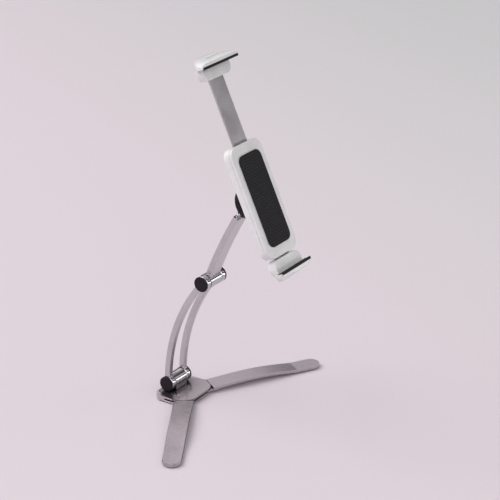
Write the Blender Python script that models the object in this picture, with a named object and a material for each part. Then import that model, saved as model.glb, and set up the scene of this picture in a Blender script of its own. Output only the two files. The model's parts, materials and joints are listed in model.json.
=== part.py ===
"""Folding tablet stand: a V-legged base, twin curved lower arms, one flat upper arm,
a ball joint and a spring-loaded clamp holder. Metres, +Z up, floor at Z = 0.
X runs along the two hinge barrels, the stand faces -Y, and the origin lies on the
floor where the centre lines of the two legs cross."""

import math

import bmesh
import bpy
from mathutils import Matrix, Vector

MM = 0.001

# Hinge barrels (both alike): two outer rings, a middle knuckle, black end caps
BARREL_R = 9.2 * MM
KNUCKLE_HALF = 10.5 * MM
WASHER_IN, WASHER_OUT = 10.75 * MM, 11.15 * MM
RING_IN, RING_OUT = 11.4 * MM, 17.8 * MM
CAP_IN, CAP_OUT = 18.1 * MM, 19.9 * MM
BOLT_R, BOLT_HOLE_R = 3.0 * MM, 3.3 * MM
HEAD_R, HEAD_HOLE_R, HEAD_DEPTH = 5.2 * MM, 5.7 * MM, 3.4 * MM

# Arms
LOWER_HINGE = Vector((0, 15.8, 17.4)) * MM
LOWER_ARM_LENGTH, LOWER_ARM_LEAN = 152.5 * MM, math.radians(20.0)
LOWER_ARM_RISE, LOWER_ARM_DEPTH = 13.5 * MM, 7.3 * MM
UPPER_ARM_LENGTH, UPPER_ARM_LEAN = 120.7 * MM, math.radians(26.6)
UPPER_ARM_RISE = 3.0 * MM
UPPER_ARM_WIDTH, UPPER_ARM_THICK = 21.0 * MM, 7.2 * MM

# Base
PLATE_BOTTOM, PLATE_TOP = 5.5 * MM, 7.9 * MM
HUB_BOTTOM, HUB_FLOOR, HUB_DECK, HUB_TOP = 1.3 * MM, 3.1 * MM, 5.2 * MM, 7.6 * MM
HUB_HALF, HUB_REAR = 31.5 * MM, 27.0 * MM
LEG_ANGLE = math.radians(60)
PIVOT_OUT, SHOULDER_OUT = 15.0 * MM, 30.0 * MM
CREASE_OUT, LEG_OUT = 144.0 * MM, 178.0 * MM
LEG_WIDTH, TOE_WIDTH, LEG_THICK = 23.6 * MM, 22.2 * MM, 4.0 * MM
TONGUE_R, TONGUE_BOTTOM, TONGUE_TOP = 11.7 * MM, 3.4 * MM, 5.2 * MM
STRAP_HALF_W, STRAP_FRONT_W = 8.5 * MM, 11.4 * MM
TOE_PAD_OUT, ROOT_CUT_BACK = 160.0 * MM, 0.8 * MM
PAD_TOP = 1.0 * MM
GAP = 0.3 * MM

# Ball joint; BALL_R sets the seats, the boss and the ring around it
HOLDER_LEAN = math.radians(24.7)
BALL_R, NECK_R = 9.5 * MM, 3.0 * MM
SEAT_R = BALL_R + 2.5 * MM
BOSS_R, BOSS_WALL = SEAT_R + GAP, 2.3 * MM
FRONT_SEAT_R, FRONT_SEAT, REAR_SEAT = 11.0 * MM, (3.2 * MM, 8.0 * MM), (-4.4 * MM, -0.1 * MM)
RING_R, GRIP_GROOVES = 18.0 * MM, 12

# Holder. Its frame sits on the ball: X across, Z up the holder, -Y out of its face
TABLET_LENGTH = 240.0 * MM
TABLET_UP, TABLET_FACE = 38.0 * MM, 30.0 * MM
SHELL_HALF_W, SHELL_HALF_L, SHELL_CORNER = 29.0 * MM, 66.0 * MM, 12.0 * MM
SHELL_BACK, SHELL_FLOOR, SHELL_SPLIT, SHELL_FRONT = 10.8 * MM, 12.8 * MM, 18.2 * MM, 22.1 * MM
SHELL_WALL = 2.4 * MM
REST_FACE = 23.6 * MM
RAIL_HALF_W, RAIL_BACK, RAIL_FRONT = 13.0 * MM, 15.5 * MM, 17.5 * MM
UPPER_JAW_HALF_W, LOWER_JAW_HALF_W = 34.6 * MM, 30.4 * MM
JAW_BACK, JAW_STEP, JAW_FRONT = 12.8 * MM, 23.3 * MM, 32.2 * MM
# Jaw sections from back to front: distance out, narrowing, height past the tablet's edge
JAW_SECTIONS = (
    (12.8, 11.6, 11.6), (13.3, 11.0, 12.4), (14.6, 9.6, 12.9), (18.0, 5.6, 11.8),
    (23.0, 0.6, 9.8), (27.5, 0.0, 8.2), (31.4, 0.4, 6.6), (32.2, 1.4, 5.4),
)
JAW_PLATE_HALF_W, JAW_PLATE_IN, JAW_PLATE_OUT = 25.0 * MM, 14.0 * MM, 4.0 * MM
JAW_SLOT_HALF_W = 13.0 * MM
PAD_MARGIN, JAW_PAD_THICK, PAD_HOOK = 1.6 * MM, 1.7 * MM, 0.8 * MM
SPRING_X, SPRING_R, WIRE_R, SPRING_TURNS = 20.4 * MM, 2.0 * MM, 0.45 * MM, 15


def upper_hinge():
    lean = LOWER_ARM_LEAN
    return LOWER_HINGE + LOWER_ARM_LENGTH * Vector((0, -math.sin(lean), math.cos(lean)))


def ball_centre():
    lean = UPPER_ARM_LEAN
    return upper_hinge() + UPPER_ARM_LENGTH * Vector((0, -math.sin(lean), math.cos(lean)))


# --- scene, materials and mesh helpers ---------------------------------------


def clear_scene():
    for obj in list(bpy.data.objects):
        bpy.data.objects.remove(obj, do_unlink=True)


def material(name, colour, roughness, metallic):
    made = bpy.data.materials.new(name)
    made.use_nodes = True
    shader = made.node_tree.nodes["Principled BSDF"]
    shader.inputs["Base Color"].default_value = (*colour, 1)
    shader.inputs["Roughness"].default_value = roughness
    shader.inputs["Metallic"].default_value = metallic
    made.diffuse_color = (*colour, 1)
    return made


def frame(name, location, tilt=0.0):
    empty = bpy.data.objects.new(name, None)
    bpy.context.collection.objects.link(empty)
    empty.location = location
    empty.rotation_euler = (tilt, 0, 0)
    return empty


def add_object(name, bm, finish=None, parent=None, matrix=None):
    bmesh.ops.recalc_face_normals(bm, faces=bm.faces)
    mesh = bpy.data.meshes.new(name)
    bm.to_mesh(mesh)
    bm.free()
    obj = bpy.data.objects.new(name, mesh)
    bpy.context.collection.objects.link(obj)
    if matrix is not None:
        mesh.transform(matrix)
    if finish is not None:
        mesh.materials.append(finish)
    mesh.shade_smooth()
    mesh.set_sharp_from_angle(angle=math.radians(35))
    obj.parent = parent
    return obj


def combine(target, other, operation):
    """Boolean of target with other, which stays in the file as a hidden helper."""
    other.hide_render = True
    other.display_type = "WIRE"
    other.parent = target.parent
    step = target.modifiers.new(operation.title() + " " + other.name, "BOOLEAN")
    step.operation = operation
    step.solver = "EXACT"
    step.object = other


def cut(target, *cutters):
    for cutter in cutters:
        combine(target, cutter, "DIFFERENCE")


def join(target, *others):
    for other in others:
        combine(target, other, "UNION")


def soften(obj, width, segments=2, angle=40):
    """Rounds the edges that turn by more than this angle, in degrees."""
    step = obj.modifiers.new("Bevel", "BEVEL")
    step.width = width
    step.segments = segments
    step.limit_method = "ANGLE"
    step.angle_limit = math.radians(angle)
    step.harden_normals = False


def loft(rings):
    """Closed solid through rings of equal point counts."""
    bm = bmesh.new()
    made = [[bm.verts.new(point) for point in ring] for ring in rings]
    count = len(rings[0])
    for low, high in zip(made, made[1:]):
        for i in range(count):
            j = (i + 1) % count
            bm.faces.new((low[i], low[j], high[j], high[i]))
    bm.faces.new(list(reversed(made[0])))
    bm.faces.new(made[-1])
    return bm


AXES = {
    "X": lambda a, b, h: (h, a, b),
    "Y": lambda a, b, h: (a, h, b),
    "Z": lambda a, b, h: (a, b, h),
}


def prism(outline, low, high, axis="Z"):
    """Outline of (a, b) points extruded along an axis."""
    place = AXES[axis]
    return loft([[place(a, b, h) for a, b in outline] for h in (low, high)])


def box(x, y, z):
    outline = [(x[0], y[0]), (x[1], y[0]), (x[1], y[1]), (x[0], y[1])]
    return prism(outline, *z)


def turned(profile, steps=32, axis="Z", centre=(0, 0)):
    """Solid turned about an axis from (height, radius) points; radius 0 closes an end."""
    place = AXES[axis]
    bm = bmesh.new()
    rings = []
    for height, radius in profile:
        if radius == 0:
            rings.append([bm.verts.new(place(*centre, height))])
            continue
        ring = []
        for i in range(steps):
            turn = math.tau * i / steps
            a = centre[0] + radius * math.cos(turn)
            b = centre[1] + radius * math.sin(turn)
            ring.append(bm.verts.new(place(a, b, height)))
        rings.append(ring)
    for low, high in zip(rings, rings[1:]):
        for i in range(steps):
            j = (i + 1) % steps
            corners = [low[i % len(low)], low[j % len(low)], high[j % len(high)], high[i % len(high)]]
            bm.faces.new(list(dict.fromkeys(corners)))
    for ring, end in ((rings[0], -1), (rings[-1], 1)):
        if len(ring) > 1:
            bm.faces.new(ring[::end])
    return bm


def tube(profile_outer, profile_inner, steps=32, axis="Z"):
    """Turned ring: an outer profile and an inner one, both (height, radius) from low to high."""
    place = AXES[axis]
    loop = list(profile_outer) + list(reversed(profile_inner))
    bm = bmesh.new()
    columns = []
    for i in range(steps):
        turn = math.tau * i / steps
        ring = [
            bm.verts.new(place(radius * math.cos(turn), radius * math.sin(turn), height))
            for height, radius in loop
        ]
        columns.append(ring)
    for now, following in zip(columns, columns[1:] + columns[:1]):
        for i in range(len(loop)):
            j = (i + 1) % len(loop)
            bm.faces.new((now[i], now[j], following[j], following[i]))
    return bm


def arc(centre, radius, start, end, steps):
    """Points on an arc, angles in radians from the first axis."""
    points = []
    for i in range(steps + 1):
        turn = start + (end - start) * i / steps
        points.append((centre[0] + radius * math.cos(turn), centre[1] + radius * math.sin(turn)))
    return points


def rounded_rectangle(half_a, half_b, corner, steps=5, centre=(0, 0)):
    points = []
    for quarter, (sign_a, sign_b) in enumerate(((1, 1), (-1, 1), (-1, -1), (1, -1))):
        middle = (centre[0] + sign_a * (half_a - corner), centre[1] + sign_b * (half_b - corner))
        start = quarter * math.pi / 2
        points += arc(middle, corner, start, start + math.pi / 2, steps)
    return points


def circles_meet(centre_a, radius_a, centre_b, radius_b, near):
    """The crossing of two circles that lies nearer to a given point."""
    between = Vector(centre_b) - Vector(centre_a)
    distance = between.length
    along = (radius_a**2 - radius_b**2 + distance**2) / (2 * distance)
    across = math.sqrt(radius_a**2 - along**2)
    unit = between / distance
    normal = Vector((-unit.y, unit.x))
    foot = Vector(centre_a) + along * unit
    return min((foot + across * normal, foot - across * normal), key=lambda p: (p - Vector(near)).length)


# --- bowed arms ---------------------------------------------------------------


class Bow:
    """Arc in the YZ plane from start to end that bulges backwards by rise."""

    def __init__(self, start, end, rise):
        self.start = Vector((start.y, start.z))
        self.end = Vector((end.y, end.z))
        chord = self.end - self.start
        half = chord.length / 2
        self.radius = (half**2 + rise**2) / (2 * rise)
        forward = Vector((-chord.y, chord.x)).normalized()
        self.centre = self.start + chord / 2 + forward * (self.radius - rise)
        self.length = 2 * self.radius * math.asin(half / self.radius)

    def angle(self, distance):
        first = self.start - self.centre
        return math.atan2(first.y, first.x) + distance / self.radius

    def at(self, distance, out=0.0):
        turn = self.angle(distance)
        return self.centre + (self.radius + out) * Vector((math.cos(turn), math.sin(turn)))


def hinge_frames():
    lower = frame("lower_hinge", LOWER_HINGE)
    upper = frame("upper_hinge", upper_hinge())
    return lower, upper


def bore(name, hinge, counterbore_from=None, side=1):
    """Cutter for the hinge bolt, with a counterbore for its head on the outer side."""
    end = 25 * MM
    profile = [(-end, BOLT_HOLE_R), (end, BOLT_HOLE_R)]
    if counterbore_from is not None:
        profile = [
            (0, BOLT_HOLE_R), (counterbore_from, BOLT_HOLE_R),
            (counterbore_from, HEAD_HOLE_R), (end, HEAD_HOLE_R),
        ]
        if side < 0:
            profile = [(-height, radius) for height, radius in reversed(profile)]
    return add_object(name, turned(profile, 24, "X", (hinge.y, hinge.z)))


def arm_outline():
    """Side outline of a lower arm: a ring at each end joined by a bowed bar."""
    bow = Bow(LOWER_HINGE, upper_hinge(), LOWER_ARM_RISE)
    half = LOWER_ARM_DEPTH / 2
    back, front = bow.radius + half, bow.radius - half
    crossing = {}
    for label, ring in (("low", bow.start), ("high", bow.end)):
        near = bow.at(BARREL_R if label == "low" else bow.length - BARREL_R)
        for edge, radius in (("back", back), ("front", front)):
            side = near + (0.5 if edge == "back" else -0.5) * (near - bow.centre).normalized() * half
            crossing[label, edge] = circles_meet(bow.centre, radius, ring, BARREL_R, side)

    def around(centre, first, last, steps):
        start = math.atan2(*(first - centre).yx)
        end = math.atan2(*(last - centre).yx)
        if end < start:
            end += math.tau
        return arc(centre, BARREL_R, start, end, steps)

    def along(radius, first, last, steps):
        start = math.atan2(*(first - bow.centre).yx)
        end = math.atan2(*(last - bow.centre).yx)
        return arc(bow.centre, radius, start, end, steps)

    outline = around(bow.start, crossing["low", "front"], crossing["low", "back"], 16)
    outline += along(back, crossing["low", "back"], crossing["high", "back"], 12)[1:-1]
    outline += around(bow.end, crossing["high", "back"], crossing["high", "front"], 16)
    outline += along(front, crossing["high", "front"], crossing["low", "front"], 12)[1:-1]
    return outline


def make_lower_arms(finish):
    for name, side in (("left", -1), ("right", 1)):
        faces = sorted((side * RING_IN, side * RING_OUT))
        arm = add_object("lower_arm_" + name, prism(arm_outline(), *faces, "X"), finish)
        for end, hinge in (("low", LOWER_HINGE), ("high", upper_hinge())):
            depth = RING_OUT - HEAD_DEPTH
            cut(arm, bore(f"bore_{name}_{end}", hinge, depth, side))
        soften(arm, 0.6 * MM, 1)


def make_hinge_hardware(label, empty, steel, nylon, black):
    """Through bolt, nut, friction washers and end caps of one barrel, about the local X axis."""
    floor = RING_OUT - HEAD_DEPTH + GAP
    head_end = floor + 2.2 * MM
    socket_r, socket_depth = 2.3 * MM, 1.4 * MM
    bolt = [
        (-head_end + socket_depth, 0), (-head_end + socket_depth, socket_r), (-head_end, socket_r),
        (-head_end, HEAD_R - 0.5 * MM), (-head_end + 0.5 * MM, HEAD_R), (-floor, HEAD_R),
        (-floor, BOLT_R), (head_end - 0.3 * MM, BOLT_R), (head_end - 0.3 * MM, 0),
    ]
    add_object(label + "_bolt", turned(bolt, 24, "X"), steel, empty)
    nut_hole = (BOLT_R + 0.25 * MM) / math.cos(math.radians(30))
    nut = tube([(floor, HEAD_R), (head_end, HEAD_R)], [(floor, nut_hole), (head_end, nut_hole)], 6, "X")
    add_object(label + "_nut", nut, steel, empty)
    for name, side in (("left", -1), ("right", 1)):
        low, high = sorted((side * WASHER_IN, side * WASHER_OUT))
        outer, inner = BARREL_R - 0.5 * MM, BOLT_HOLE_R
        washer = tube([(low, outer), (high, outer)], [(low, inner), (high, inner)], 32, "X")
        add_object(f"{label}_washer_{name}", washer, nylon, empty)
        edge = 0.5 * MM
        spigot = RING_OUT - 0.7 * MM
        cap = [
            (spigot, 0), (spigot, HEAD_R - 0.1 * MM), (CAP_IN, HEAD_R - 0.1 * MM), (CAP_IN, BARREL_R),
            (CAP_OUT - edge, BARREL_R), (CAP_OUT, BARREL_R - edge), (CAP_OUT, 0),
        ]
        if side < 0:
            cap = [(-height, radius) for height, radius in reversed(cap)]
        add_object(f"{label}_cap_{name}", turned(cap, 32, "X"), black, empty)


def knuckle_tube():
    edge = 0.3 * MM
    outer = [
        (-KNUCKLE_HALF, BARREL_R - edge), (-KNUCKLE_HALF + edge, BARREL_R),
        (KNUCKLE_HALF - edge, BARREL_R), (KNUCKLE_HALF, BARREL_R - edge),
    ]
    inner = [(-KNUCKLE_HALF, BOLT_HOLE_R), (KNUCKLE_HALF, BOLT_HOLE_R)]
    return tube(outer, inner, 40, "X")


def make_upper_arm(finish, polish, steel, empty):
    add_object("upper_knuckle", knuckle_tube(), polish, empty)
    bow = Bow(upper_hinge(), ball_centre(), UPPER_ARM_RISE)
    half_w, half_t, chamfer = UPPER_ARM_WIDTH / 2, UPPER_ARM_THICK / 2, 0.8 * MM
    tip = bow.length - 22.3 * MM
    corners = []
    for sx, st in ((1, 1), (-1, 1), (-1, -1), (1, -1)):
        pair = [(sx * (half_w - chamfer), st * half_t), (sx * half_w, st * (half_t - chamfer))]
        corners += pair if sx * st < 0 else pair[::-1]
    rings = []
    stations = 14
    for i in range(stations + 1):
        distance = 4 * MM + (tip - 4 * MM) * i / stations
        ring = []
        for x, out in corners:
            y, z = bow.at(distance, out)
            ring.append((x, y, z))
        rings.append(ring)
    arm = add_object("upper_arm", loft(rings), finish)
    seat = turned([(-20 * MM, BARREL_R + GAP), (20 * MM, BARREL_R + GAP)], 40, "X", upper_hinge().yz)
    cut(arm, add_object("upper_arm_seat", seat))
    aim = stud_matrix(bow)
    shank = turned([(-40 * MM, 2.5 * MM), (-18 * MM, 2.5 * MM)], 16)
    cut(arm, add_object("shank_bore", shank, matrix=aim))
    make_ball_stud(steel, aim)


def stud_matrix(bow):
    """Places a shape turned about Z on the ball, with +Z running on from the arm's tip."""
    tangent = bow.end - bow.at(bow.length - 22.0 * MM)
    lean = math.atan2(-tangent.x, tangent.y)
    return Matrix.Translation(ball_centre()) @ Matrix.Rotation(lean, 4, "X")


def make_ball_stud(steel, aim):
    neck_turn = math.asin(NECK_R / BALL_R)
    profile = [(-34 * MM, 0), (-34 * MM, 2.2 * MM), (-22 * MM, 2.2 * MM), (-22 * MM, 5.5 * MM)]
    profile += [(-20.4 * MM, 5.5 * MM), (-19.9 * MM, 5.0 * MM), (-19.9 * MM, NECK_R)]
    steps = 12
    for i in range(steps):
        turn = neck_turn + (math.pi - neck_turn) * i / steps
        profile.append((-BALL_R * math.cos(turn), BALL_R * math.sin(turn)))
    profile.append((BALL_R, 0))
    add_object("ball_stud", turned(profile, 24), steel, matrix=aim)


# --- base and legs --------------------------------------------------------------


def leg_point(side, out, across):
    """Floor point at a distance out along a leg and across it towards the stand's front."""
    x = side * (out * math.sin(LEG_ANGLE) - across * math.cos(LEG_ANGLE))
    y = -out * math.cos(LEG_ANGLE) - across * math.sin(LEG_ANGLE)
    return x, y


def leg_strip(side, near, far, rear_w, front_w):
    """Rectangle along a leg."""
    corners = ((near, -rear_w), (near, front_w), (far, front_w), (far, -rear_w))
    return [leg_point(side, out, across) for out, across in corners]


def front_outline(corner, shoulder_across, inset=0.0):
    """Right half of the hub's front edge: middle, rounded corner round the pivot, leg seam."""
    pivot = leg_point(1, PIVOT_OUT, 0)
    points = arc(pivot, corner - inset, -math.pi / 2, -(math.pi / 2 - LEG_ANGLE), 8)
    points.append(leg_point(1, SHOULDER_OUT - inset, -shoulder_across))
    return points


def mirrored(half):
    """Whole outline from its right half, which runs front to back."""
    return half + [(-x, y) for x, y in reversed(half)]


def plate_outline():
    half = front_outline(SHOULDER_OUT - PIVOT_OUT, LEG_WIDTH / 2)
    half += [(x * MM, y * MM) for x, y in ((27.2, 10.5), (23.8, 21.5), (21.5, 24.3), (18.0, 25.2))]
    return mirrored(half)


def hub_outline():
    half = front_outline(SHOULDER_OUT - PIVOT_OUT, LEG_WIDTH / 2 - 1.0 * MM, 0.2 * MM)
    half += [(HUB_HALF, -3.6 * MM), (HUB_HALF, 18.0 * MM), (29.5 * MM, 21.8 * MM)]
    half += [(25.5 * MM, 25.8 * MM), (21.5 * MM, HUB_REAR)]
    return mirrored(half)


def countersunk(name, x, y, low, high, shank_r, head_r, finish=None):
    """Flat-headed screw standing on its head, or its hole when it has no finish."""
    slope = head_r - shank_r
    profile = [(low, head_r), (low + slope, shank_r), (high, shank_r)]
    if finish is None:
        profile = [(low - 2 * MM, head_r)] + profile
    else:
        recess = 0.5 * slope
        profile = [(low + recess, 0), (low + recess, 1.0 * MM), (low, 1.0 * MM)] + profile + [(high, 0)]
    return add_object(name, turned(profile, 14, centre=(x, y)), finish)


def make_base(alu, polish, steel, rubber):
    hub = add_object("base_hub", prism(hub_outline(), HUB_BOTTOM, HUB_TOP), alu)
    swing = []
    for name, side in (("left", -1), ("right", 1)):
        pivot = leg_point(side, PIVOT_OUT, 0)
        clear_r = TONGUE_R + 0.6 * MM
        clear = turned([(HUB_FLOOR, clear_r), (20 * MM, clear_r)], 32, centre=pivot)
        strap = leg_strip(side, PIVOT_OUT, 60 * MM, STRAP_HALF_W + 0.6 * MM, STRAP_FRONT_W + 0.6 * MM)
        swing += [add_object(f"swing_{name}", clear)]
        swing += [add_object(f"strap_slot_{name}", prism(strap, HUB_FLOOR, 20 * MM))]
    front = box((-60 * MM, 60 * MM), (-60 * MM, -6.5 * MM), (HUB_FLOOR, 20 * MM))
    cut(hub, add_object("hub_front_clear", front), *swing)
    grown = [
        (x * 1.012 + math.copysign(GAP, x), y + math.copysign(2 * GAP, y))
        for x, y in plate_outline()
    ]
    cut(hub, add_object("plate_seat", prism(grown, HUB_DECK, 20 * MM)))
    for name, side in (("left", -1), ("right", 1)):
        faces = sorted((side * (HUB_HALF - 7 * MM), side * (HUB_HALF + 5 * MM)))
        slot = box(faces, (-8.0 * MM, 9.8 * MM), (3.4 * MM, 5.6 * MM))
        cut(hub, add_object(f"hub_side_slot_{name}", slot))

    plate = add_object("foot_plate", prism(plate_outline(), PLATE_BOTTOM, PLATE_TOP), alu)
    knuckle_z = PLATE_TOP + GAP
    post = box(
        (-KNUCKLE_HALF, KNUCKLE_HALF),
        (LOWER_HINGE.y - 8.6 * MM, LOWER_HINGE.y + 8.6 * MM),
        (knuckle_z, LOWER_HINGE.z),
    )
    knuckle = add_object("lower_knuckle", post, polish)
    barrel = turned([(-KNUCKLE_HALF, BARREL_R), (KNUCKLE_HALF, BARREL_R)], 40, "X", LOWER_HINGE.yz)
    join(knuckle, add_object("lower_knuckle_barrel", barrel))
    cut(knuckle, bore("knuckle_bore", LOWER_HINGE))

    for name, y in (("front", 10.8 * MM), ("rear", 20.8 * MM)):
        low, high = PLATE_BOTTOM + 0.1 * MM, 12.0 * MM
        countersunk("knuckle_screw_" + name, 0, y, low, high, 1.5 * MM, 2.9 * MM, steel)
        cut(plate, countersunk(f"plate_hole_{name}", 0, y, PLATE_BOTTOM, 20 * MM, 1.8 * MM, 3.2 * MM))
        hole = turned([(0, 1.8 * MM), (12.4 * MM, 1.8 * MM)], 16, centre=(0, y))
        cut(knuckle, add_object(f"knuckle_hole_{name}", hole))
    soften(knuckle, 0.3 * MM, 1, 60)

    middle_pad = prism(rounded_rectangle(7 * MM, 5 * MM, 4 * MM, 4), 0, PAD_TOP)
    add_object("hub_pad_front", middle_pad, rubber)
    for name, side in (("left", -1), ("right", 1)):
        x, y = side * 15.0 * MM, 15.5 * MM
        countersunk("hub_screw_" + name, x, y, HUB_BOTTOM + 0.1 * MM, 7.0 * MM, 1.5 * MM, 2.9 * MM, steel)
        cut(hub, countersunk(f"hub_hole_{name}", x, y, HUB_BOTTOM, 20 * MM, 1.8 * MM, 3.2 * MM))
        hole = turned([(0, 1.8 * MM), (7.3 * MM, 1.8 * MM)], 16, centre=(x, y))
        cut(plate, add_object(f"plate_blind_{name}", hole))
        x, y = leg_point(side, PIVOT_OUT, 0)
        screw = "leg_pivot_screw_" + name
        countersunk(screw, x, y, HUB_BOTTOM + 0.1 * MM, 7.1 * MM, 2.0 * MM, 3.6 * MM, steel)
        cut(hub, countersunk(f"pivot_hub_hole_{name}", x, y, HUB_BOTTOM, 20 * MM, 2.3 * MM, 3.9 * MM))
        hole = turned([(0, 2.3 * MM), (7.4 * MM, 2.3 * MM)], 16, centre=(x, y))
        cut(plate, add_object(f"pivot_plate_hole_{name}", hole))
        pad = prism(rounded_rectangle(7 * MM, 5 * MM, 4 * MM, 4, (side * 21 * MM, 18 * MM)), 0, PAD_TOP)
        add_object("hub_pad_" + name, pad, rubber)


def leg_middle(out):
    """Height of a leg's mid plane: a low arch, then a flat toe."""
    root, crown, toe = 5.7 * MM, 8.0 * MM, 3.5 * MM
    crown_out = 86 * MM
    if out < crown_out:
        rise = (out - SHOULDER_OUT) / (crown_out - SHOULDER_OUT)
        return root + (crown - root) * math.sin(math.pi / 2 * rise)
    if out < CREASE_OUT:
        fall = 1 - math.cos(math.pi / 2 * (out - crown_out) / (CREASE_OUT - crown_out))
        return crown - (crown - toe) * fall
    return toe


def make_legs(alu, rubber):
    toe_r = TOE_WIDTH / 2
    arch = CREASE_OUT - SHOULDER_OUT - GAP
    stations = [SHOULDER_OUT + GAP + arch * i / 14 for i in range(15)]
    stations += [150 * MM, 160 * MM]
    middle = LEG_OUT - toe_r
    stations += [middle + toe_r * math.sin(math.radians(a)) for a in (0, 20, 38, 54, 68, 80, 88)]
    for name, side in (("left", -1), ("right", 1)):
        rings = []
        for out in stations:
            share = min(1, (out - SHOULDER_OUT) / (middle - SHOULDER_OUT))
            half_w = (LEG_WIDTH + (TOE_WIDTH - LEG_WIDTH) * share) / 2
            if out > middle:
                half_w = math.sqrt(toe_r**2 - (out - middle) ** 2)
            half_t = LEG_THICK / 2 + 0.2 * MM * max(0, 1 - (out - SHOULDER_OUT) / (25 * MM))
            chamfer = 0.6 * MM
            narrow = min(chamfer, half_w / 2)
            z = leg_middle(out)
            section = [
                (-half_w + narrow, z - half_t), (half_w - narrow, z - half_t),
                (half_w, z - half_t + chamfer), (half_w, z + half_t - chamfer),
                (half_w - narrow, z + half_t), (-half_w + narrow, z + half_t),
                (-half_w, z + half_t - chamfer), (-half_w, z - half_t + chamfer),
            ]
            # The root edge is cut back towards the rear, which opens the seam with the plate
            cut_back = ROOT_CUT_BACK if out == stations[0] else 0
            rings.append([
                (*leg_point(side, out + cut_back * max(0, -across) / half_w, across), height)
                for across, height in section
            ])
        leg = add_object(name + "_leg", loft(rings), alu)
        pivot = leg_point(side, PIVOT_OUT, 0)
        disc = turned([(TONGUE_BOTTOM, TONGUE_R), (TONGUE_TOP, TONGUE_R)], 32, centre=pivot)
        strap = leg_strip(side, PIVOT_OUT, 38 * MM, STRAP_HALF_W, STRAP_FRONT_W)
        inset = 0.05 * MM
        strap_solid = prism(strap, TONGUE_BOTTOM + inset, TONGUE_TOP - inset)
        join(
            leg,
            add_object(f"leg_strap_{name}", strap_solid),
            add_object(f"leg_disc_{name}", disc),
        )
        hole = turned([(0, 2.3 * MM), (20 * MM, 2.3 * MM)], 16, centre=pivot)
        cut(leg, add_object(f"leg_hole_{name}", hole))
        outline = rounded_rectangle(9 * MM, 7 * MM, 5 * MM, 4)
        pad = [leg_point(side, TOE_PAD_OUT + a, b) for a, b in outline]
        add_object("toe_pad_" + name, prism(pad, 0, 1.2 * MM), rubber)


# --- holder ---------------------------------------------------------------------


def front_to_back(near, far):
    """Local Y limits of a piece that lies between two heights above the ball's centre."""
    return -far, -near


def holder_box(x, out, up):
    return box(x, front_to_back(*out), up)


def plate_shape(outline, out):
    """Outline in X and Z, thick from out[0] to out[1] in front of the ball's centre."""
    return prism(outline, *front_to_back(*out), "Y")


def turned_out(profile, steps=32, centre=(0, 0)):
    """Turned about the holder's outward axis; heights are distances in front of the ball."""
    return turned([(-height, radius) for height, radius in reversed(profile)], steps, "Y", centre)


def sphere_slice(radius, span, steps=5):
    """Profile of a sphere between two distances out of the ball's centre, in a tube's heights."""
    low, high = span
    heights = [low + (high - low) * i / steps for i in range(steps + 1)]
    return [(-h, math.sqrt(radius**2 - h**2)) for h in heights]


def make_ball_joint(nylon, black, holder):
    # The front seat is a slice of a spherical shell, so it clears the socket and the rear
    # seat however the holder is tilted or panned
    inner_r = BALL_R + GAP
    front = tube(sphere_slice(FRONT_SEAT_R, FRONT_SEAT), sphere_slice(inner_r, FRONT_SEAT), 28, "Y")
    add_object("ball_seat_front", front, nylon, holder)
    low, high = REAR_SEAT
    wall = [(-low, SEAT_R), (-high, SEAT_R)]
    rear = tube(wall, sphere_slice(inner_r, REAR_SEAT), 28, "Y")
    add_object("ball_seat_rear", rear, nylon, holder)

    thread_r = BOSS_R + BOSS_WALL + GAP
    outside = ((-7.2, RING_R - 1.5 * MM), (-5.7, RING_R), (8, RING_R), (9, RING_R - 1 * MM))
    inside = ((-7.2, 11.5 * MM), (-4.7, 10.2 * MM), (-4.7, thread_r), (9, thread_r))
    ring = tube([(-h * MM, r) for h, r in outside], [(-h * MM, r) for h, r in inside], 36, "Y")
    lock_ring = add_object("lock_ring", ring, black, holder)
    for i in range(GRIP_GROOVES):
        turn = math.tau * (i + 0.5) / GRIP_GROOVES
        groove = turned_out([(-9 * MM, 1.3 * MM), (12 * MM, 1.3 * MM)], 8, (0, 0))
        reach = RING_R + 0.4 * MM
        place = Matrix.Translation((reach * math.cos(turn), 0, reach * math.sin(turn)))
        cut(lock_ring, add_object(f"grip_groove_{i}", groove, matrix=place))


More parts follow.
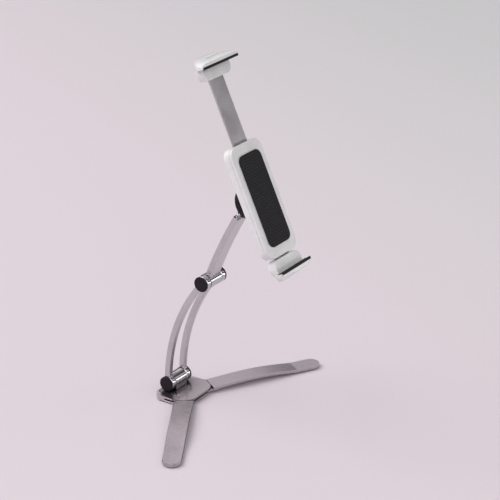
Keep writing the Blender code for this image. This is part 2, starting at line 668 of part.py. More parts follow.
def make_shells(plastic, rubber, steel, holder):
    outline = rounded_rectangle(SHELL_HALF_W, SHELL_HALF_L, SHELL_CORNER)
    wall = SHELL_WALL
    inside = rounded_rectangle(SHELL_HALF_W - wall, SHELL_HALF_L - wall, SHELL_CORNER - wall)
    rear = add_object("rear_shell", plate_shape(outline, (SHELL_BACK, SHELL_SPLIT)), plastic, holder)
    cut(rear, add_object("rear_hollow", plate_shape(inside, (SHELL_FLOOR, 40 * MM))))
    boss_end = -4.2 * MM
    boss = turned_out([(boss_end, BOSS_R + BOSS_WALL), (SHELL_BACK + 1 * MM, BOSS_R + BOSS_WALL)], 28)
    hollow = turned_out([(boss_end - 5 * MM, BOSS_R), (10.0 * MM, BOSS_R)], 28)
    join(rear, add_object("socket_boss", boss))
    cut(rear, add_object("socket_hollow", hollow))
    for side in (-1, 1):
        across = sorted((side * 7 * MM, side * 10 * MM))
        rib = holder_box(across, (SHELL_FLOOR - 1 * MM, RAIL_BACK - GAP), (-60 * MM, 60 * MM))
        join(rear, add_object(f"rail_rib_{side}", rib))
    across = (-RAIL_HALF_W - GAP, RAIL_HALF_W + GAP)
    window = holder_box(across, (RAIL_BACK - GAP, 30 * MM), (-80 * MM, 80 * MM))
    cut(rear, add_object("rail_window", window))

    cover = plate_shape(outline, (SHELL_SPLIT + GAP, SHELL_FRONT))
    front = add_object("front_shell", cover, plastic, holder)
    corners = (
        ("top_left", -1, 1), ("top_right", 1, 1), ("bottom_left", -1, -1), ("bottom_right", 1, -1),
    )
    for label, sx, sz in corners:
        x, z = sx * 23.0 * MM, sz * 59.6 * MM
        pillar = turned_out([(SHELL_FLOOR - 1 * MM, 2.9 * MM), (SHELL_SPLIT, 2.9 * MM)], 16, (x, z))
        join(rear, add_object(f"pillar_{label}", pillar))
        steps = [(0, 2.5 * MM), (SHELL_FLOOR, 2.5 * MM), (SHELL_FLOOR, 1.5 * MM), (30 * MM, 1.5 * MM)]
        hole = turned_out(steps, 16, (x, z))
        cut(rear, add_object(f"screw_hole_{label}", hole))
        blind = turned_out([(0, 1.5 * MM), (21.0 * MM, 1.5 * MM)], 16, (x, z))
        cut(front, add_object(f"screw_blind_{label}", blind))
        add_screw(f"shell_screw_{label}", x, z, 10.9 * MM, 12.5 * MM, 20.6 * MM, steel, holder)
    soften(front, 1.2 * MM, 1, 60)
    pad = rounded_rectangle(21 * MM, 54 * MM, 8 * MM, 5)
    back_pad = add_object("back_pad", plate_shape(pad, (SHELL_FRONT + GAP, REST_FACE)), rubber, holder)
    soften(back_pad, 0.3 * MM, 1, 60)


def add_screw(name, x, z, head_back, head_front, tip, steel, holder, shank_r=1.2 * MM, head_r=2.2 * MM):
    """Pan-head screw driven from behind the holder."""
    socket = 0.9 * MM
    profile = [
        (head_back + socket, 0), (head_back + socket, 0.9 * MM), (head_back, 0.9 * MM),
        (head_back, head_r - 0.3 * MM), (head_back + 0.3 * MM, head_r), (head_front, head_r),
        (head_front, shank_r), (tip, shank_r), (tip, 0),
    ]
    return add_object(name, turned_out(profile, 12, (x, z)), steel, holder)


def jaw_section(half_w, rise, out, sign, edge):
    """Half of a rounded rectangle that stands on the tablet's edge, as points of the holder."""
    low, squareness, steps = 0.6 * MM, 4.0, 18
    points = []
    for i in range(steps + 1):
        turn = math.pi * i / steps
        x = math.copysign(abs(math.cos(turn)) ** (2 / squareness), math.cos(turn)) * half_w
        up = low + (rise - low) * math.sin(turn) ** (2 / squareness) if 0 < i < steps else low
        points.append((x, -out, edge + sign * up))
    return points


def make_jaw(label, sign, plastic, rubber, steel, holder):
    """One jaw with its pad and screws; sign is +1 for the upper one."""
    edge = TABLET_UP + sign * TABLET_LENGTH / 2
    half_w = UPPER_JAW_HALF_W if sign > 0 else LOWER_JAW_HALF_W
    pad_half_w = half_w - PAD_MARGIN

    def up(*values):
        return sorted(edge + sign * v for v in values)

    sections = [
        jaw_section(half_w - narrowing * MM, rise * MM, out * MM, sign, edge)
        for out, narrowing, rise in JAW_SECTIONS
    ]
    jaw = add_object(label + "_jaw", loft(sections), plastic, holder)
    half_up = (JAW_PLATE_IN + JAW_PLATE_OUT) / 2
    middle = (0, edge + sign * (JAW_PLATE_OUT - half_up))
    inner_plate = rounded_rectangle(JAW_PLATE_HALF_W, half_up, 8 * MM, 4, middle)
    tail = plate_shape(inner_plate, (JAW_BACK + 0.1 * MM, JAW_STEP))
    join(jaw, add_object(label + "_inner_plate", tail))
    across = (-pad_half_w - GAP, pad_half_w + GAP)
    recess = holder_box(across, (REST_FACE, 50 * MM), up(-5 * MM, JAW_PAD_THICK + 2 * GAP))
    slot = holder_box((-JAW_SLOT_HALF_W, JAW_SLOT_HALF_W), (22.7 * MM, 24.3 * MM), up(4.6 * MM, 40 * MM))
    rail_slot = holder_box(
        (-RAIL_HALF_W - GAP, RAIL_HALF_W + GAP),
        (RAIL_BACK - GAP, RAIL_FRONT + GAP),
        up(-30 * MM, -1.7 * MM),
    )
    cut(jaw, add_object(label + "_pad_recess", recess), add_object(label + "_slot", slot),
        add_object(label + "_rail_slot", rail_slot))
    for name, side in (("left", -1), ("right", 1)):
        x, z = side * 7.5 * MM, edge - sign * 7.5 * MM
        steps = [(0, 2.5 * MM), (14.4 * MM, 2.5 * MM), (14.4 * MM, 1.5 * MM), (21.5 * MM, 1.5 * MM)]
        hole = turned_out(steps, 16, (x, z))
        cut(jaw, add_object(f"{label}_hole_{name}", hole))
        add_screw(f"{label}_jaw_screw_{name}", x, z, 12.6 * MM, 14.1 * MM, 21.0 * MM, steel, holder)

    hook_out = TABLET_FACE + 0.4 * MM
    front = JAW_FRONT + 0.2 * MM
    profile = [
        (REST_FACE + GAP, GAP), (hook_out, GAP), (hook_out, -PAD_HOOK), (front, -PAD_HOOK),
        (front, GAP + JAW_PAD_THICK), (REST_FACE + GAP, GAP + JAW_PAD_THICK),
    ]
    outline = [(-out, edge + sign * v) for out, v in profile]
    pad = add_object(label + "_jaw_pad", prism(outline, -pad_half_w, pad_half_w, "X"), rubber, holder)
    soften(pad, 0.25 * MM, 1, 60)


def rail_outline(low, high, ears):
    half = RAIL_HALF_W
    right = [(half, low)]
    if ears:
        ear_low, ear_high, reach = ears
        right += [(half, ear_low), (reach, ear_low), (reach, ear_high), (half, ear_high)]
    right.append((half, high))
    return right + [(-x, z) for x, z in reversed(right)]


def make_rails(alu, steel, holder):
    top_edge = TABLET_UP + TABLET_LENGTH / 2
    bottom_edge = TABLET_UP - TABLET_LENGTH / 2
    ears = (46 * MM, 51 * MM, 17.6 * MM)
    upper = rail_outline(26 * MM, top_edge - 2.0 * MM, ears)
    lower = rail_outline(bottom_edge + 2.0 * MM, -52 * MM, None)
    thick = (RAIL_BACK, RAIL_FRONT)
    upper_rail = add_object("upper_rail", plate_shape(upper, thick), alu, holder)
    lower_rail = add_object("lower_rail", plate_shape(lower, thick), alu, holder)
    for name, side in (("left", -1), ("right", 1)):
        for rail, z in ((upper_rail, top_edge - 7.5 * MM), (lower_rail, bottom_edge + 7.5 * MM)):
            hole = turned_out([(0, 1.5 * MM), (30 * MM, 1.5 * MM)], 16, (side * 7.5 * MM, z))
            cut(rail, add_object(f"{rail.name}_hole_{name}", hole))


def make_springs(steel, holder):
    """Extension springs from the lower screw pillars to the upper rail's ears, drawn stretched."""
    low, high = -55.6 * MM, 48.0 * MM
    turn_points = 6
    count = SPRING_TURNS * turn_points
    for name, side in (("left", -1), ("right", 1)):
        curve = bpy.data.curves.new("spring_" + name, "CURVE")
        curve.dimensions = "3D"
        curve.bevel_depth = WIRE_R
        curve.bevel_resolution = 0
        curve.use_fill_caps = True
        spline = curve.splines.new("POLY")
        spline.points.add(count)
        for i, point in enumerate(spline.points):
            turn = math.tau * i / turn_points
            x = side * SPRING_X + SPRING_R * math.cos(turn)
            y = -15.6 * MM + SPRING_R * math.sin(turn)
            point.co = (x, y, low + (high - low) * i / count, 1)
        obj = bpy.data.objects.new("spring_" + name, curve)
        bpy.context.collection.objects.link(obj)
        curve.materials.append(steel)
        obj.parent = holder


def main():
    clear_scene()
    alu = material("satin_aluminium", (0.62, 0.60, 0.62), 0.38, 1.0)
    polish = material("polished_aluminium", (0.80, 0.80, 0.82), 0.14, 1.0)
    steel = material("zinc_steel", (0.55, 0.55, 0.56), 0.3, 1.0)
    nylon = material("nylon", (0.05, 0.05, 0.055), 0.5, 0.0)
    black = material("black_plastic", (0.02, 0.018, 0.02), 0.45, 0.0)
    white = material("white_plastic", (0.86, 0.86, 0.88), 0.32, 0.0)
    rubber = material("rubber", (0.018, 0.018, 0.02), 0.75, 0.0)

    lower, upper = hinge_frames()
    make_base(alu, polish, steel, rubber)
    make_legs(alu, rubber)
    make_lower_arms(alu)
    make_hinge_hardware("lower", lower, steel, nylon, black)
    make_hinge_hardware("upper", upper, steel, nylon, black)
    make_upper_arm(alu, polish, steel, upper)
    holder = frame("holder_frame", ball_centre(), -HOLDER_LEAN)
    make_ball_joint(nylon, black, holder)
    make_shells(white, rubber, steel, holder)
    make_rails(alu, steel, holder)
    make_springs(steel, holder)
    for label, sign in (("upper", 1), ("lower", -1)):
        make_jaw(label, sign, white, rubber, steel, holder)


main()
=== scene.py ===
"""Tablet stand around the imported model: materials, ribbed rubber pads, studio and camera.
Metres, +Z up, floor at Z = 0; the stand faces -Y and its hinge barrels lie along X."""

import json
import math

import bmesh
import bpy
from mathutils import Euler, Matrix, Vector


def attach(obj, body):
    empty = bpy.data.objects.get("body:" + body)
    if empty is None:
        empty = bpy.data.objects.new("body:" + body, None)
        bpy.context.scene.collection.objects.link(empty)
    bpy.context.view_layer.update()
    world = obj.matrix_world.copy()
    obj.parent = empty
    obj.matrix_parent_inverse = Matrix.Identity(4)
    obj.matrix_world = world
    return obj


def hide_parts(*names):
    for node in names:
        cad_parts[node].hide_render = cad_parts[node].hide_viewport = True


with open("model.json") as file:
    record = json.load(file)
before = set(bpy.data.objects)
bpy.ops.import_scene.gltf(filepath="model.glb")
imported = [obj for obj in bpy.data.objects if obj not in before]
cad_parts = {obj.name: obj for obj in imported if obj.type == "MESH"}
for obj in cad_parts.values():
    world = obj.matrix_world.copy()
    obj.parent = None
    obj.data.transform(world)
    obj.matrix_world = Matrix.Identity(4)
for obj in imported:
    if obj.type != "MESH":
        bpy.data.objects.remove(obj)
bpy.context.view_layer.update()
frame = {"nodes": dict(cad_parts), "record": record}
nodes = frame["nodes"]

MM = 0.001
scene = bpy.context.scene


# --- node graphs ---------------------------------------------------------------


class Graph:
    """A material's node tree, built from small steps that each return an output socket."""

    def __init__(self, name):
        self.material = bpy.data.materials.new(name)
        self.material.use_nodes = True
        self.tree = self.material.node_tree
        self.shader = self.tree.nodes["Principled BSDF"]
        self.place = self.add("ShaderNodeTexCoord").outputs["Object"]

    def add(self, kind, inputs=None, **settings):
        node = self.tree.nodes.new(kind)
        for key, value in settings.items():
            setattr(node, key, value)
        for key, value in (inputs or {}).items():
            if isinstance(value, bpy.types.NodeSocket):
                self.tree.links.new(value, node.inputs[key])
            else:
                node.inputs[key].default_value = value
        return node

    def stretched(self, scale, turn=(0, 0, 0)):
        """Object coordinates turned, then scaled, so that a texture can run along a part."""
        turned = self.add("ShaderNodeVectorRotate", {"Vector": self.place, "Rotation": turn},
                          rotation_type="EULER_XYZ")
        return self.add("ShaderNodeVectorMath", {0: turned.outputs["Vector"], 1: scale},
                        operation="MULTIPLY").outputs["Vector"]

    def noise(self, scale, detail, vector=None):
        made = self.add("ShaderNodeTexNoise", {
            "Vector": vector or self.place, "Scale": scale, "Detail": detail, "Roughness": 0.55})
        return made.outputs["Fac"]

    def cells(self, scale, feature="F1"):
        made = self.add("ShaderNodeTexVoronoi", {"Vector": self.place, "Scale": scale},
                        feature=feature)
        return made.outputs["Distance"]

    def remap(self, value, low, high, to_low, to_high):
        made = self.add("ShaderNodeMapRange", {
            "Value": value, "From Min": low, "From Max": high, "To Min": to_low, "To Max": to_high},
            clamp=True)
        return made.outputs["Result"]

    def sum(self, first, second, operation="ADD"):
        made = self.add("ShaderNodeMath", {0: first, 1: second}, operation=operation)
        return made.outputs["Value"]

    def mix(self, factor, first, second):
        """A colour from first to second."""
        made = self.add("ShaderNodeMix", data_type="RGBA")
        for socket, value in ((0, factor), (6, first), (7, second)):
            if isinstance(value, bpy.types.NodeSocket):
                self.tree.links.new(value, made.inputs[socket])
            else:
                made.inputs[socket].default_value = (*value, 1) if socket else value
        return made.outputs[2]

    def edge(self, radius):
        """0 on flats, 1 on outer and inner edges, from how far a rounded normal turns there."""
        rounded = self.add("ShaderNodeBevel", {"Radius": radius}, samples=6).outputs["Normal"]
        flat = self.add("ShaderNodeNewGeometry").outputs["Normal"]
        same = self.add("ShaderNodeVectorMath", {0: rounded, 1: flat}, operation="DOT_PRODUCT")
        return self.remap(same.outputs["Value"], 0.98, 0.88, 0, 1)

    def occlusion_shade(self, reach, dark=0.3, open_=0.75):
        """1 deep in gaps and slots, 0 in the open, from ambient occlusion: the mask of a painted
        shade.
        """
        shade = self.add("ShaderNodeAmbientOcclusion", {"Distance": reach}, samples=6)
        return self.remap(shade.outputs["AO"], dark, open_, 1, 0)

    def bump(self, height, distance, strength):
        made = self.add("ShaderNodeBump", {
            "Height": height, "Distance": distance, "Strength": strength})
        return made.outputs["Normal"]

    def finish(self, **sockets):
        """Sets or links the shader's inputs by name, and returns the material."""
        for key, value in sockets.items():
            socket = self.shader.inputs[key.replace("_", " ").title().replace("Ior", "IOR")]
            if isinstance(value, bpy.types.NodeSocket):
                self.tree.links.new(value, socket)
            else:
                socket.default_value = value
        return self.material


# --- materials -----------------------------------------------------------------

LOWER_HINGE = Vector((0, 15.8, 17.4)) * MM
UPPER_HINGE = Vector((0, -36.358, 160.703)) * MM
BARREL_R = 9.2 * MM
LOWER_ARM_LEAN, UPPER_ARM_LEAN = math.radians(20), math.radians(26.6)
HOLDER_LEAN = math.radians(24.7)
LEG_TURN = math.radians(60)
QUARTER_TURN = math.pi / 2


# Pairs of a darker and a lighter tone
ARM_TONES = (0.53, 0.500, 0.518), (0.60, 0.570, 0.588)
LEG_TONES = (0.425, 0.382, 0.410), (0.490, 0.445, 0.474)
HUB_TONES = (0.50, 0.455, 0.485), (0.57, 0.525, 0.555)
KNUCKLE_TONES = (0.50, 0.455, 0.490), (0.56, 0.515, 0.550)
# Dark tones of painted shade: in gaps and slots, and on faces near taller parts
GAP_SHADE_TONE, PAINTED_SHADE_TONE = (0.045, 0.036, 0.042), (0.10, 0.085, 0.095)
ARM_GLOSS, BASE_GLOSS, RAIL_GLOSS = 0.20, 0.24, 0.34


def aluminium(name, turn, hinges=(), tones=ARM_TONES, gloss=ARM_GLOSS, shade=None):
    """Bead-blasted, clear-anodised aluminium with faint streaks along the part. Around each
    hinge axis, which lies along X, it is turned and polished. shade is a reach and a strength
    for a painted shade that darkens faces near taller parts, from ambient occlusion."""
    g = Graph(name)
    dark, light = tones
    streaks = g.noise(1.0, 3, g.stretched((1400, 1400, 26), turn))
    clouds = g.noise(38, 3)
    blast = g.noise(5200, 2)
    edge = g.edge(0.45 * MM)
    tone = g.mix(g.remap(clouds, 0.35, 0.65, 0, 1), dark, light)
    tone = g.mix(g.remap(streaks, 0.30, 0.70, 0.0, 0.40), tone, [c * 1.12 for c in light])
    # Painted highlight: edges lighter than the flats
    tone = g.mix(g.remap(edge, 0, 1, 0, 0.6), tone, [c * 1.32 for c in light])
    rough = g.sum(g.remap(blast, 0.3, 0.7, gloss, gloss + 0.08),
                  g.remap(clouds, 0.3, 0.7, -0.02, 0.05))
    rough = g.sum(rough, g.remap(edge, 0, 1, 0, 0.10), "SUBTRACT")
    height = g.sum(g.remap(blast, 0, 1, 0, 0.6), g.remap(streaks, 0, 1, 0, 0.4))
    turned_height = g.noise(1.0, 2, g.stretched((5200, 90, 90)))
    for hinge in hinges:
        offset = g.add("ShaderNodeVectorMath", {0: g.place, 1: hinge}, operation="SUBTRACT")
        flat = g.add("ShaderNodeVectorMath", {0: offset.outputs["Vector"], 1: (0, 1, 1)},
                     operation="MULTIPLY")
        away = g.add("ShaderNodeVectorMath", {0: flat.outputs["Vector"]}, operation="LENGTH")
        polished = g.remap(away.outputs["Value"], BARREL_R + 0.55 * MM, BARREL_R + 0.15 * MM, 0, 1)
        scuffs = g.remap(turned_height, 0.35, 0.7, 0.10, 0.19)
        tone = g.mix(polished, tone, (0.56, 0.55, 0.565))
        rough = g.add("ShaderNodeMix", {0: polished, 2: rough, 3: scuffs}).outputs[0]
        height = g.add("ShaderNodeMix", {0: polished, 2: height, 3: turned_height}).outputs[0]
    # Painted shade: faces near taller parts take a darker tone, from ambient occlusion
    if shade:
        reach, strength = shade
        painted_shade_mask = g.sum(g.occlusion_shade(reach, 0.60, 0.97), strength, "MULTIPLY")
        tone = g.mix(painted_shade_mask, tone, PAINTED_SHADE_TONE)
    # Painted shade: gaps and slots darkened towards a near-black tone
    gap_shade_mask = g.occlusion_shade(2.5 * MM)
    tone = g.mix(gap_shade_mask, tone, GAP_SHADE_TONE)
    rough = g.sum(rough, g.remap(gap_shade_mask, 0, 1, 0, 0.3))
    return g.finish(base_color=tone, roughness=rough, metallic=1.0,
                    normal=g.bump(height, 0.012 * MM, 0.7))


def polished_metal(name):
    """Turned aluminium polished to a mirror, with fine tool rings round X and light scuffs."""
    g = Graph(name)
    rings = g.noise(1.0, 2, g.stretched((6500, 60, 60)))
    smears = g.noise(160, 4)
    edge = g.edge(0.3 * MM)
    tone = g.mix(g.remap(smears, 0.3, 0.7, 0, 1), (0.51, 0.50, 0.515), (0.60, 0.59, 0.605))
    # Painted highlight: edges lighter than the flats
    tone = g.mix(g.remap(edge, 0, 1, 0, 0.5), tone, (0.86, 0.86, 0.86))
    # Painted shade in gaps and slots
    tone = g.mix(g.occlusion_shade(2.0 * MM), tone, GAP_SHADE_TONE)
    rough = g.sum(g.remap(rings, 0.3, 0.7, 0.09, 0.16), g.remap(smears, 0.35, 0.7, 0, 0.06))
    return g.finish(base_color=tone, roughness=rough, metallic=1.0,
                    normal=g.bump(rings, 0.008 * MM, 0.6))


def plated_steel(name):
    """Bright zinc plate: slightly blue, faintly crystalline."""
    g = Graph(name)
    spangle = g.cells(900)
    clouds = g.noise(420, 3)
    edge = g.edge(0.15 * MM)
    tone = g.mix(g.remap(clouds, 0.35, 0.65, 0, 1), (0.46, 0.47, 0.49), (0.60, 0.60, 0.62))
    # Painted highlight: edges lighter than the flats
    tone = g.mix(g.remap(edge, 0, 1, 0, 0.6), tone, (0.80, 0.80, 0.82))
    rough = g.sum(g.remap(spangle, 0, 0.8, 0.20, 0.33), g.remap(clouds, 0.3, 0.7, 0, 0.06))
    return g.finish(base_color=tone, roughness=rough, metallic=1.0,
                    normal=g.bump(g.sum(spangle, clouds), 0.01 * MM, 0.5))


def moulded(name, dark, light, edge_highlight, rough_low, rough_high, grain, depth, coat=0.0, specular=0.5):
    """Injection-moulded plastic: fine spark-eroded grain, soft mottling, edges rubbed smooth and
    lighter in a painted highlight.
    """
    g = Graph(name)
    pits = g.cells(grain, "SMOOTH_F1")
    fine = g.noise(grain * 1.7, 3)
    mottle = g.noise(55, 4)
    edge = g.edge(0.35 * MM)
    tone = g.mix(g.remap(mottle, 0.32, 0.68, 0, 1), dark, light)
    # Painted highlight: edges lighter than the flats
    tone = g.mix(g.remap(edge, 0, 1, 0, 0.5), tone, edge_highlight)
    rough = g.sum(g.remap(fine, 0.3, 0.7, rough_low, rough_high),
                  g.remap(mottle, 0.3, 0.7, 0, 0.05))
    rough = g.sum(rough, g.remap(edge, 0, 1, 0, 0.08), "SUBTRACT")
    height = g.sum(g.remap(pits, 0, 0.7, 0, 0.6), g.remap(fine, 0, 1, 0, 0.4))
    return g.finish(base_color=tone, roughness=rough, coat_weight=coat, coat_roughness=0.12,
                    specular_ior_level=specular,
                    normal=g.bump(height, depth, 0.8))


def rubber_finish(name):
    """Soft black rubber: dull, finely pitted, a little dust caught in the grain."""
    g = Graph(name)
    pits = g.cells(2600)
    fine = g.noise(1900, 4)
    dust = g.noise(140, 5)
    tone = g.mix(g.remap(dust, 0.4, 0.7, 0, 1), (0.010, 0.009, 0.011), (0.019, 0.018, 0.020))
    # Painted highlight: edges lighter than the flats
    tone = g.mix(g.remap(g.edge(0.3 * MM), 0, 1, 0, 0.5), tone, (0.040, 0.038, 0.040))
    rough = g.sum(g.remap(fine, 0.3, 0.7, 0.62, 0.78), g.remap(dust, 0.4, 0.7, 0, 0.12))
    return g.finish(base_color=tone, roughness=rough, specular_ior_level=0.35,
                    normal=g.bump(g.sum(pits, fine), 0.05 * MM, 0.8))


finishes = {
    "hub": aluminium("hub_aluminium", (0, QUARTER_TURN, 0), (), HUB_TONES, BASE_GLOSS),
    # The foot plate takes a painted shade where taller parts stand close by
    "plate": aluminium("plate_aluminium", (0, QUARTER_TURN, 0), (), LEG_TONES, BASE_GLOSS,
                       (24 * MM, 0.8)),
    "left_leg": aluminium("left_leg_aluminium", (QUARTER_TURN, 0, -LEG_TURN), (), LEG_TONES,
                          BASE_GLOSS),
    "right_leg": aluminium("right_leg_aluminium", (QUARTER_TURN, 0, LEG_TURN), (), LEG_TONES,
                           BASE_GLOSS),
    "lower_arm": aluminium("lower_arm_aluminium", (-LOWER_ARM_LEAN, 0, 0),
                           (LOWER_HINGE, UPPER_HINGE)),
    "knuckle": aluminium("knuckle_aluminium", (0, QUARTER_TURN, 0), (LOWER_HINGE,),
                         KNUCKLE_TONES),
    "upper_arm": aluminium("upper_arm_aluminium", (-UPPER_ARM_LEAN, 0, 0)),
    "rail": aluminium("rail_aluminium", (-HOLDER_LEAN, 0, 0), gloss=RAIL_GLOSS),
    "polished": polished_metal("polished_aluminium"),
    "steel": plated_steel("plated_steel"),
    "black": moulded("black_plastic", (0.010, 0.006, 0.009), (0.016, 0.011, 0.015),
                     (0.045, 0.038, 0.043), 0.44, 0.54, 2100, 0.03 * MM, specular=0.22),
    "white": moulded("white_plastic", (0.80, 0.805, 0.80), (0.87, 0.87, 0.865),
                     (0.92, 0.92, 0.92), 0.20, 0.28, 1500, 0.012 * MM, coat=0.25),
    "nylon": moulded("natural_nylon", (0.60, 0.58, 0.52), (0.68, 0.66, 0.60),
                     (0.75, 0.73, 0.68), 0.34, 0.44, 1800, 0.02 * MM),
    "rubber": rubber_finish("black_rubber"),
}

FINISH_OF_NODE = (
    ("hub", ("base_hub",)),
    ("plate", ("foot_plate",)),
    ("left_leg", ("left_leg",)),
    ("right_leg", ("right_leg",)),
    ("lower_arm", ("lower_arm_left", "lower_arm_right")),
    ("knuckle", ("lower_knuckle",)),
    ("upper_arm", ("upper_arm",)),
    ("polished", ("upper_knuckle",)),
    ("rail", ("lower_rail", "upper_rail")),
)
FINISH_OF_SLOT = {
    "satin_aluminium": "hub", "polished_aluminium": "polished", "zinc_steel": "steel",
    "nylon": "nylon", "black_plastic": "black", "white_plastic": "white", "rubber": "rubber",
}


def paint_nodes():
    """Each CAD node takes the finish of its record slot, or the closer one made for it."""
    own = {name: finish for finish, names in FINISH_OF_NODE for name in names}
    for part in frame["record"]["subparts"]:
        finish = finishes[own.get(part["node"], FINISH_OF_SLOT[part["material_slot"]])]
        for slot in nodes[part["node"]].material_slots:
            slot.material = finish


# --- edges of the CAD nodes -------------------------------------------------------

def ease_edges(name):
    """Rounds a CAD node's hard edges a little, in modifiers only."""
    obj = nodes[name]
    obj.data.shade_smooth()
    weld = obj.modifiers.new("Weld", "WELD")
    weld.merge_threshold = 0.004 * MM
    bevel = obj.modifiers.new("Bevel", "BEVEL")
    bevel.width, bevel.segments = 0.3 * MM, 2
    bevel.limit_method, bevel.angle_limit = "ANGLE", math.radians(40)
    bevel.use_clamp_overlap = True
    bevel.miter_outer = "MITER_ARC"
    shade = obj.modifiers.new("Weighted Normal", "WEIGHTED_NORMAL")
    shade.keep_sharp = True
    shade.weight = 60


def crease_group():
    """A modifier's node group that marks every fold over 4 degrees as sharp."""
    group = bpy.data.node_groups.new("crease", "GeometryNodeTree")
    group.interface.new_socket("Geometry", in_out="INPUT", socket_type="NodeSocketGeometry")
    group.interface.new_socket("Geometry", in_out="OUTPUT", socket_type="NodeSocketGeometry")
    start, end = group.nodes.new("NodeGroupInput"), group.nodes.new("NodeGroupOutput")
    turn = group.nodes.new("GeometryNodeInputMeshEdgeAngle")
    over = group.nodes.new("FunctionNodeCompare")
    over.data_type, over.operation = "FLOAT", "GREATER_THAN"
    over.inputs["B"].default_value = math.radians(4)
    shade = group.nodes.new("GeometryNodeSetShadeSmooth")
    shade.domain = "EDGE"
    shade.inputs["Shade Smooth"].default_value = False
    group.links.new(turn.outputs["Unsigned Angle"], over.inputs["A"])
    group.links.new(start.outputs[0], shade.inputs["Geometry"])
    group.links.new(over.outputs["Result"], shade.inputs["Selection"])
    group.links.new(shade.outputs["Geometry"], end.inputs[0])
    return group


def crease_edges(name, group):
    """Keeps a shallow fold crisp in the shading, in a modifier placed under the bevel."""
    obj = nodes[name]
    step = obj.modifiers.new("Crease", "NODES")
    step.node_group = group
    obj.modifiers.move(len(obj.modifiers) - 1, 1)


# --- ribbed pads ------------------------------------------------------------------


def add_rubber_piece(name, mesh, body):
    obj = bpy.data.objects.new(name, mesh)
    scene.collection.objects.link(obj)
    mesh.materials.clear()
    mesh.materials.append(finishes["rubber"])
    mesh.shade_smooth()
    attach(obj, body)
    return obj


def evaluated_mesh(obj, name):
    graph = bpy.context.evaluated_depsgraph_get()
    mesh = bpy.data.meshes.new_from_object(obj.evaluated_get(graph))
    mesh.name = name
    return mesh


def ribbed_pad(node, body, facing, across, pitch, depth, voxel):
    """A soft copy of a pad's solid with rounded edges and moulded grooves across its grip face.
    facing is the way the grip face looks, and across is the way from groove to groove."""
    bm = bmesh.new()
    bm.from_mesh(nodes[node].data)
    bmesh.ops.remove_doubles(bm, verts=bm.verts, dist=0.002 * MM)
    mesh = bpy.data.meshes.new(node + "_solid")
    bm.to_mesh(mesh)
    bm.free()
    blank = bpy.data.objects.new(node + "_solid", mesh)
    scene.collection.objects.link(blank)
    remesh = blank.modifiers.new("Remesh", "REMESH")
    remesh.mode, remesh.voxel_size = "VOXEL", voxel
    smooth = blank.modifiers.new("Smooth", "SMOOTH")
    smooth.factor, smooth.iterations = 0.5, 2
    bpy.context.view_layer.update()
    dense = evaluated_mesh(blank, node + "_ribbed")
    bpy.data.objects.remove(blank)
    middle = sum((v.co for v in dense.vertices), Vector()) / len(dense.vertices)
    moves = []
    for vertex in dense.vertices:
        turned = max(0.0, (vertex.normal.dot(facing) - 0.6) / 0.4)
        wave = 0.5 - 0.5 * math.cos(2 * math.pi * (vertex.co - middle).dot(across) / pitch)
        moves.append(facing * (-depth * turned * wave ** 2))
    for vertex, move in zip(dense.vertices, moves):
        vertex.co += move
    piece = add_rubber_piece(node + "_ribbed", dense, body)
    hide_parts(node)


def make_pads():
    out = Vector((0, -math.cos(HOLDER_LEAN), math.sin(HOLDER_LEAN)))
    up = Vector((0, math.sin(HOLDER_LEAN), math.cos(HOLDER_LEAN)))
    side, down = Vector((1, 0, 0)), Vector((0, 0, -1))
    ribbed_pad("back_pad", "holder", out, up, 3.2 * MM, 0.55 * MM, 0.40 * MM)
    ribbed_pad("lower_jaw_pad", "holder", up, side, 2.4 * MM, 0.50 * MM, 0.30 * MM)
    ribbed_pad("upper_jaw_pad", "upper_jaw", -up, side, 2.4 * MM, 0.50 * MM, 0.30 * MM)
    for node, body in (("hub_pad_front", "base"), ("hub_pad_left", "base"),
                       ("hub_pad_right", "base"), ("toe_pad_left", "left_leg"),
                       ("toe_pad_right", "right_leg")):
        ribbed_pad(node, body, down, side, 2.0 * MM, 0.25 * MM, 0.25 * MM)


# --- studio and camera ------------------------------------------------------------


def make_camera():
    data = bpy.data.cameras.new("Camera")
    camera = bpy.data.objects.new("Camera", data)
    scene.collection.objects.link(camera)
    camera.location = (-1.6565, -1.2083, 1.0759)
    camera.rotation_euler = Euler((math.radians(66.58), 0, math.radians(-56.01)))
    data.lens, data.sensor_width = 138.75, 36
    scene.camera = camera


def make_floor():
    """A wide pale floor, pinkish near the stand and neutral further off."""
    bm = bmesh.new()
    bmesh.ops.create_grid(bm, x_segments=8, y_segments=8, size=12.0)
    mesh = bpy.data.meshes.new("floor")
    bm.to_mesh(mesh)
    bm.free()
    floor = bpy.data.objects.new("floor", mesh)
    scene.collection.objects.link(floor)
    g = Graph("floor_paper")
    apart = g.add("ShaderNodeSeparateXYZ", {"Vector": g.place})
    away = g.sum(g.sum(apart.outputs["X"], 0.90, "MULTIPLY"),
                 g.sum(apart.outputs["Y"], -0.44, "MULTIPLY"))
    tone = g.mix(g.remap(away, 0.30, 1.15, 0, 1), (0.722, 0.658, 0.700), (0.632, 0.632, 0.637))
    fibre = g.noise(900, 3)
    mesh.materials.append(g.finish(
        base_color=tone, roughness=g.remap(fibre, 0.3, 0.7, 0.85, 0.95), specular_ior_level=0.1,
        normal=g.bump(fibre, 0.02 * MM, 0.3)))


def add_softbox(name, place, target, size, power):
    data = bpy.data.lights.new(name, "AREA")
    data.shape, data.size, data.size_y = "RECTANGLE", *size
    data.energy = power
    light = bpy.data.objects.new(name, data)
    scene.collection.objects.link(light)
    light.location = place
    light.rotation_euler = (Vector(target) - Vector(place)).to_track_quat("-Z", "Y").to_euler()


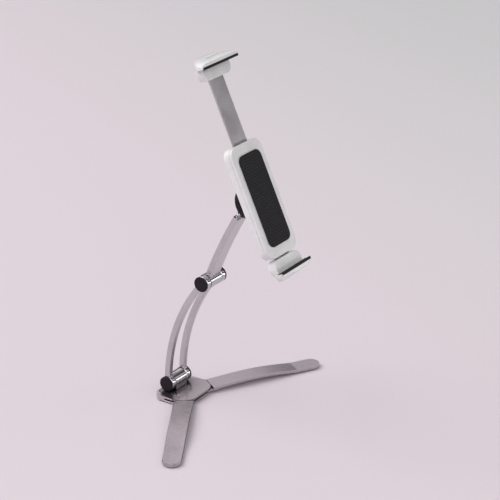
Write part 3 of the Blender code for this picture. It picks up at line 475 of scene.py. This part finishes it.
def make_studio():
    world = bpy.data.worlds.new("studio")
    scene.world = world
    world.use_nodes = True
    tree = world.node_tree
    background = tree.nodes["Background"]
    place = tree.nodes.new("ShaderNodeTexCoord")
    apart = tree.nodes.new("ShaderNodeSeparateXYZ")
    ramp = tree.nodes.new("ShaderNodeValToRGB")
    tree.links.new(place.outputs["Generated"], apart.inputs["Vector"])
    tree.links.new(apart.outputs["Z"], ramp.inputs["Fac"])
    # A dark card up to the right, which the barrels mirror along their tops
    card = tree.nodes.new("ShaderNodeVectorMath")
    card.operation = "DOT_PRODUCT"
    card.inputs[1].default_value = Vector((0.76, -0.09, 0.64)).normalized()
    tree.links.new(place.outputs["Generated"], card.inputs[0])
    soft = tree.nodes.new("ShaderNodeMapRange")
    soft.interpolation_type = "SMOOTHSTEP"
    soft.inputs["From Min"].default_value = 0.86
    soft.inputs["From Max"].default_value = 0.95
    tree.links.new(card.outputs["Value"], soft.inputs["Value"])
    shaded = tree.nodes.new("ShaderNodeMix")
    shaded.data_type = "RGBA"
    tree.links.new(soft.outputs["Result"], shaded.inputs[0])
    tree.links.new(ramp.outputs["Color"], shaded.inputs[6])
    shaded.inputs[7].default_value = (0.13, 0.124, 0.127, 1)
    tree.links.new(shaded.outputs[2], background.inputs["Color"])
    stops = ramp.color_ramp.elements
    stops[0].position, stops[0].color = 0.0, (0.05, 0.042, 0.048, 1)
    stops[1].position, stops[1].color = 1.0, (0.80, 0.785, 0.795, 1)
    for position, value in ((0.26, 0.07), (0.36, 0.40), (0.44, 1.25), (0.60, 1.05)):
        made = stops.new(position)
        made.color = (value, value * 0.97, value * 0.985, 1)
    background.inputs["Strength"].default_value = 0.85
    add_softbox("key", (-2.0, 3.2, 4.6), (0, 0, 0.1), (4.5, 4.5), 172)
    add_softbox("front_fill", (-2.6, -2.4, 1.6), (0, 0, 0.2), (1.6, 1.6), 16)
    add_softbox("low_strip", (1.5, -1.25, 0.22), (0, 0, 0.12), (1.5, 0.22), 5)


make_camera()
paint_nodes()
for cad_node in nodes:
    if not cad_node.endswith("pad") and "_pad_" not in cad_node:
        ease_edges(cad_node)
crease = crease_group()
for cad_node in ("left_leg", "right_leg"):
    crease_edges(cad_node, crease)
make_pads()
make_floor()
make_studio()
scene.view_settings.view_transform = "Standard"
